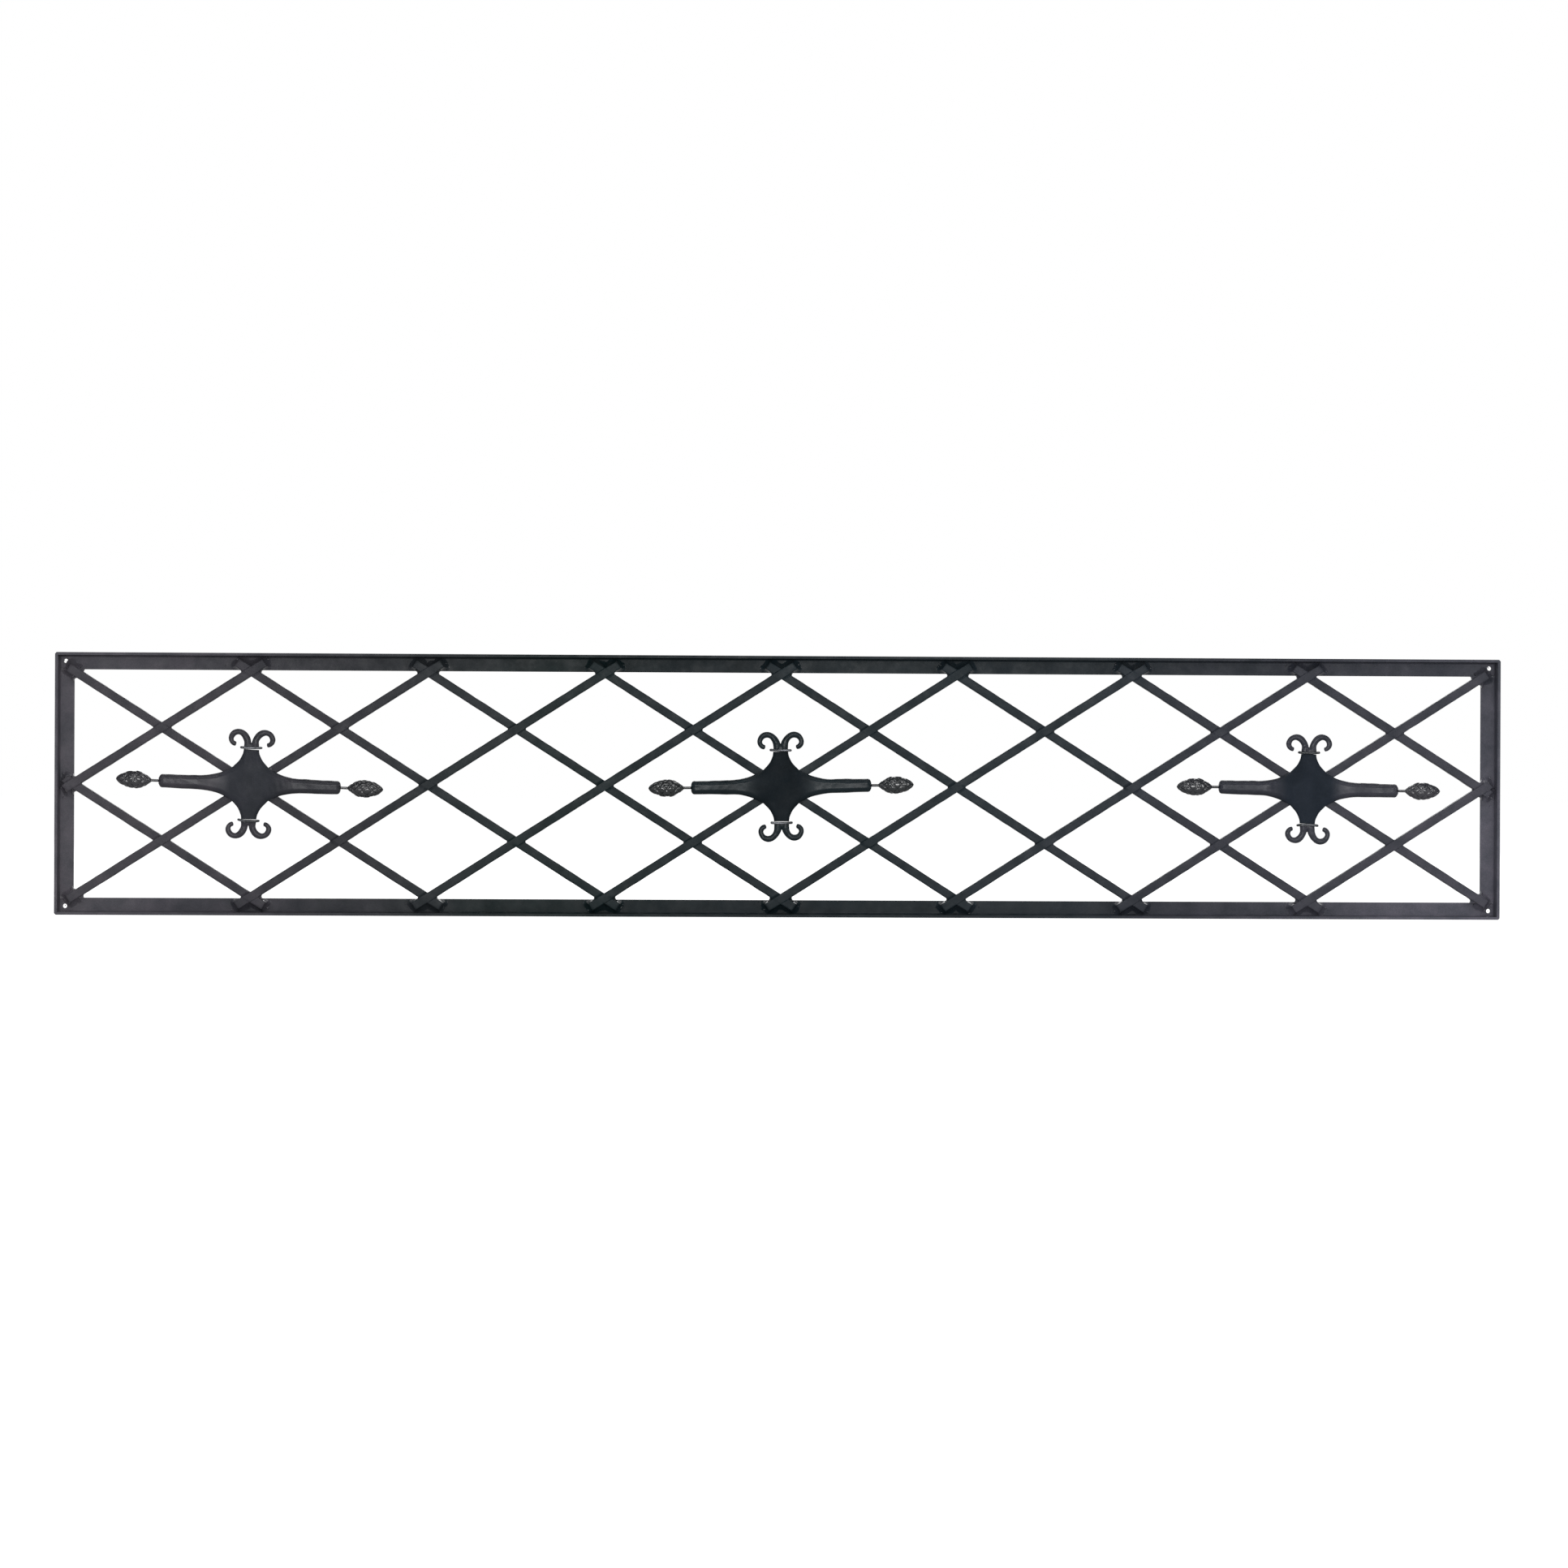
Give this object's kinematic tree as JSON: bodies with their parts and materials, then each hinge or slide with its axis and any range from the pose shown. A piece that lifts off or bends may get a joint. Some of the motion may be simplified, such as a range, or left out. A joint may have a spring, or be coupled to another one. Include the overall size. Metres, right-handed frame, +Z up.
{
  "type": "fireplace screen",
  "caption": "Low, long open hearth screen of black forged iron: a flat angle-iron frame filled with a diagonal bar lattice and star rosettes with scrolls and bud finials.",
  "frame": {"origin": "bottom centre of the bounding box: on the floor, at mid-length and mid-depth", "axes": "+Z up, +X along the panel to the right as seen from the front, -Y out of the front face into the room"},
  "size_m": [1.651, 0.027, 0.2985],
  "materials": {
    "frame_iron": "satin black paint over mill-scale angle iron",
    "lattice_iron": "satin black paint over hammered square bar",
    "rosette_iron": "satin black paint over hammered, forged iron",
    "bud_iron": "semi-gloss black paint over cast relief",
    "collar_wire": "thin black paint, worn to bare wire on the ridge",
    "weld_metal": "black paint over lumpy weld beads"
  },
  "bodies": {
    "root": {"bottom_rail": "frame_iron", "centre_left_bud": "bud_iron", "centre_lower_collar": "collar_wire", "centre_lower_scrolls": "rosette_iron", "centre_right_bud": "bud_iron", "centre_star_plate": "rosette_iron", "centre_upper_collar": "collar_wire", "centre_upper_scrolls": "rosette_iron", "falling_bar_1": "lattice_iron", "falling_bar_2": "lattice_iron", "falling_bar_3": "lattice_iron", "falling_bar_4": "lattice_iron", "falling_bar_5": "lattice_iron", "falling_bar_6": "lattice_iron", "falling_bar_7": "lattice_iron", "falling_bar_8": "lattice_iron", "falling_bar_9": "lattice_iron", "frame_corner_welds": "weld_metal", "lattice_end_welds": "weld_metal", "left_left_bud": "bud_iron", "left_lower_collar": "collar_wire", "left_lower_scrolls": "rosette_iron", "left_right_bud": "bud_iron", "left_star_plate": "rosette_iron", "left_stile": "frame_iron", "left_upper_collar": "collar_wire", "left_upper_scrolls": "rosette_iron", "right_left_bud": "bud_iron", "right_lower_collar": "collar_wire", "right_lower_scrolls": "rosette_iron", "right_right_bud": "bud_iron", "right_star_plate": "rosette_iron", "right_stile": "frame_iron", "right_upper_collar": "collar_wire", "right_upper_scrolls": "rosette_iron", "rising_bar_1": "lattice_iron", "rising_bar_2": "lattice_iron", "rising_bar_3": "lattice_iron", "rising_bar_4": "lattice_iron", "rising_bar_5": "lattice_iron", "rising_bar_6": "lattice_iron", "rising_bar_7": "lattice_iron", "rising_bar_8": "lattice_iron", "rising_bar_9": "lattice_iron", "rosette_welds": "weld_metal", "top_rail": "frame_iron"}
  },
  "joints": []
}
